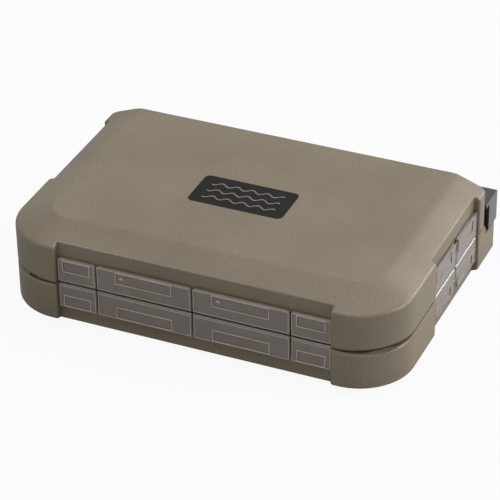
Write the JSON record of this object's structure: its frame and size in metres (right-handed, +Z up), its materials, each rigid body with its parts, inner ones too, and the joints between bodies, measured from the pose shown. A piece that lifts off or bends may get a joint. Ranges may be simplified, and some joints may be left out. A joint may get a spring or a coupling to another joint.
{
  "type": "lure box",
  "caption": "Double-sided lure box: two hinged shells, each with compartments under separate smoke lids whose lips show at the edges",
  "frame": {"origin": "middle of the underside of the whole box, lying shut on its lower panel", "axes": "+X along the length to the right seen from the front, -Y to the front where the box opens, +Z up through its thickness"},
  "size_m": [0.205, 0.1471, 0.053],
  "materials": {
    "shell_plastic": "fine matte moulding, olive brown",
    "lid_smoke": "smoke-tinted translucent, satin",
    "bar_smoke": "dark smoke-tinted translucent, gloss",
    "steel": "plain drawn rod"
  },
  "bodies": {
    "lower_half": {"lower_shell": "shell_plastic", "lower_front_divider": "shell_plastic", "lower_middle_divider": "shell_plastic", "lower_rear_divider": "shell_plastic", "lower_front_partition_1": "shell_plastic", "lower_front_partition_2": "shell_plastic", "lower_front_partition_3": "shell_plastic", "lower_middle_partition": "shell_plastic", "lower_rear_partition": "shell_plastic", "hinge_pin": "steel"},
    "upper_half": {"upper_shell": "shell_plastic", "upper_front_divider": "shell_plastic", "upper_middle_divider": "shell_plastic", "upper_rear_divider": "shell_plastic", "upper_front_partition_1": "shell_plastic", "upper_front_partition_2": "shell_plastic", "upper_front_partition_3": "shell_plastic", "upper_middle_partition": "shell_plastic", "upper_rear_partition": "shell_plastic", "hinge_bar": "bar_smoke"},
    "lower_front_lid_1": {"lower_front_lid_1": "lid_smoke"},
    "lower_front_lid_2": {"lower_front_lid_2": "lid_smoke"},
    "lower_front_lid_3": {"lower_front_lid_3": "lid_smoke"},
    "lower_front_lid_4": {"lower_front_lid_4": "lid_smoke"},
    "lower_middle_lid_left": {"lower_middle_lid_left": "lid_smoke"},
    "lower_middle_lid_right": {"lower_middle_lid_right": "lid_smoke"},
    "lower_rear_lid_left": {"lower_rear_lid_left": "lid_smoke"},
    "lower_rear_lid_right": {"lower_rear_lid_right": "lid_smoke"},
    "upper_front_lid_1": {"upper_front_lid_1": "lid_smoke"},
    "upper_front_lid_2": {"upper_front_lid_2": "lid_smoke"},
    "upper_front_lid_3": {"upper_front_lid_3": "lid_smoke"},
    "upper_front_lid_4": {"upper_front_lid_4": "lid_smoke"},
    "upper_middle_lid_left": {"upper_middle_lid_left": "lid_smoke"},
    "upper_middle_lid_right": {"upper_middle_lid_right": "lid_smoke"},
    "upper_rear_lid_left": {"upper_rear_lid_left": "lid_smoke"},
    "upper_rear_lid_right": {"upper_rear_lid_right": "lid_smoke"}
  },
  "joints": [
    {"name": "case_hinge", "type": "hinge", "parent": "lower_half", "child": "upper_half", "pos_m": [0, 0.07115, 0.0265], "axis": [-1, 0, 0], "range_deg": [0, 180]},
    {"name": "lower_front_lid_1_hinge", "type": "hinge", "parent": "lower_half", "child": "lower_front_lid_1", "pos_m": [0, -0.01885, 0.0247], "axis": [-1, 0, 0], "range_deg": [0, 90]},
    {"name": "lower_front_lid_2_hinge", "type": "hinge", "parent": "lower_half", "child": "lower_front_lid_2", "pos_m": [0, -0.01885, 0.0247], "axis": [-1, 0, 0], "range_deg": [0, 90]},
    {"name": "lower_front_lid_3_hinge", "type": "hinge", "parent": "lower_half", "child": "lower_front_lid_3", "pos_m": [0, -0.01885, 0.0247], "axis": [-1, 0, 0], "range_deg": [0, 90]},
    {"name": "lower_front_lid_4_hinge", "type": "hinge", "parent": "lower_half", "child": "lower_front_lid_4", "pos_m": [0, -0.01885, 0.0247], "axis": [-1, 0, 0], "range_deg": [0, 90]},
    {"name": "lower_middle_lid_left_hinge", "type": "hinge", "parent": "lower_half", "child": "lower_middle_lid_left", "pos_m": [0, 0.0119, 0.0247], "axis": [-1, 0, 0], "range_deg": [0, 90]},
    {"name": "lower_middle_lid_right_hinge", "type": "hinge", "parent": "lower_half", "child": "lower_middle_lid_right", "pos_m": [0, 0.0119, 0.0247], "axis": [-1, 0, 0], "range_deg": [0, 90]},
    {"name": "lower_rear_lid_left_hinge", "type": "hinge", "parent": "lower_half", "child": "lower_rear_lid_left", "pos_m": [0, 0.04265, 0.0247], "axis": [-1, 0, 0], "range_deg": [0, 90]},
    {"name": "lower_rear_lid_right_hinge", "type": "hinge", "parent": "lower_half", "child": "lower_rear_lid_right", "pos_m": [0, 0.04265, 0.0247], "axis": [-1, 0, 0], "range_deg": [0, 90]},
    {"name": "upper_front_lid_1_hinge", "type": "hinge", "parent": "upper_half", "child": "upper_front_lid_1", "pos_m": [0, -0.01885, 0.0283], "axis": [1, 0, 0], "range_deg": [0, 90]},
    {"name": "upper_front_lid_2_hinge", "type": "hinge", "parent": "upper_half", "child": "upper_front_lid_2", "pos_m": [0, -0.01885, 0.0283], "axis": [1, 0, 0], "range_deg": [0, 90]},
    {"name": "upper_front_lid_3_hinge", "type": "hinge", "parent": "upper_half", "child": "upper_front_lid_3", "pos_m": [0, -0.01885, 0.0283], "axis": [1, 0, 0], "range_deg": [0, 90]},
    {"name": "upper_front_lid_4_hinge", "type": "hinge", "parent": "upper_half", "child": "upper_front_lid_4", "pos_m": [0, -0.01885, 0.0283], "axis": [1, 0, 0], "range_deg": [0, 90]},
    {"name": "upper_middle_lid_left_hinge", "type": "hinge", "parent": "upper_half", "child": "upper_middle_lid_left", "pos_m": [0, 0.0119, 0.0283], "axis": [1, 0, 0], "range_deg": [0, 90]},
    {"name": "upper_middle_lid_right_hinge", "type": "hinge", "parent": "upper_half", "child": "upper_middle_lid_right", "pos_m": [0, 0.0119, 0.0283], "axis": [1, 0, 0], "range_deg": [0, 90]},
    {"name": "upper_rear_lid_left_hinge", "type": "hinge", "parent": "upper_half", "child": "upper_rear_lid_left", "pos_m": [0, 0.04265, 0.0283], "axis": [1, 0, 0], "range_deg": [0, 90]},
    {"name": "upper_rear_lid_right_hinge", "type": "hinge", "parent": "upper_half", "child": "upper_rear_lid_right", "pos_m": [0, 0.04265, 0.0283], "axis": [1, 0, 0], "range_deg": [0, 90]}
  ],
  "couplings": [
    {"joint": "lower_front_lid_1_hinge", "follows": "case_hinge", "ratio": 0.5},
    {"joint": "lower_front_lid_2_hinge", "follows": "case_hinge", "ratio": 0.5},
    {"joint": "lower_front_lid_3_hinge", "follows": "case_hinge", "ratio": 0.5},
    {"joint": "lower_front_lid_4_hinge", "follows": "case_hinge", "ratio": 0.5},
    {"joint": "lower_middle_lid_left_hinge", "follows": "case_hinge", "ratio": 0.5},
    {"joint": "lower_middle_lid_right_hinge", "follows": "case_hinge", "ratio": 0.5},
    {"joint": "lower_rear_lid_left_hinge", "follows": "case_hinge", "ratio": 0.5},
    {"joint": "lower_rear_lid_right_hinge", "follows": "case_hinge", "ratio": 0.5},
    {"joint": "upper_front_lid_1_hinge", "follows": "case_hinge", "ratio": 0.5},
    {"joint": "upper_front_lid_2_hinge", "follows": "case_hinge", "ratio": 0.5},
    {"joint": "upper_front_lid_3_hinge", "follows": "case_hinge", "ratio": 0.5},
    {"joint": "upper_front_lid_4_hinge", "follows": "case_hinge", "ratio": 0.5},
    {"joint": "upper_middle_lid_left_hinge", "follows": "case_hinge", "ratio": 0.5},
    {"joint": "upper_middle_lid_right_hinge", "follows": "case_hinge", "ratio": 0.5},
    {"joint": "upper_rear_lid_left_hinge", "follows": "case_hinge", "ratio": 0.5},
    {"joint": "upper_rear_lid_right_hinge", "follows": "case_hinge", "ratio": 0.5}
  ]
}
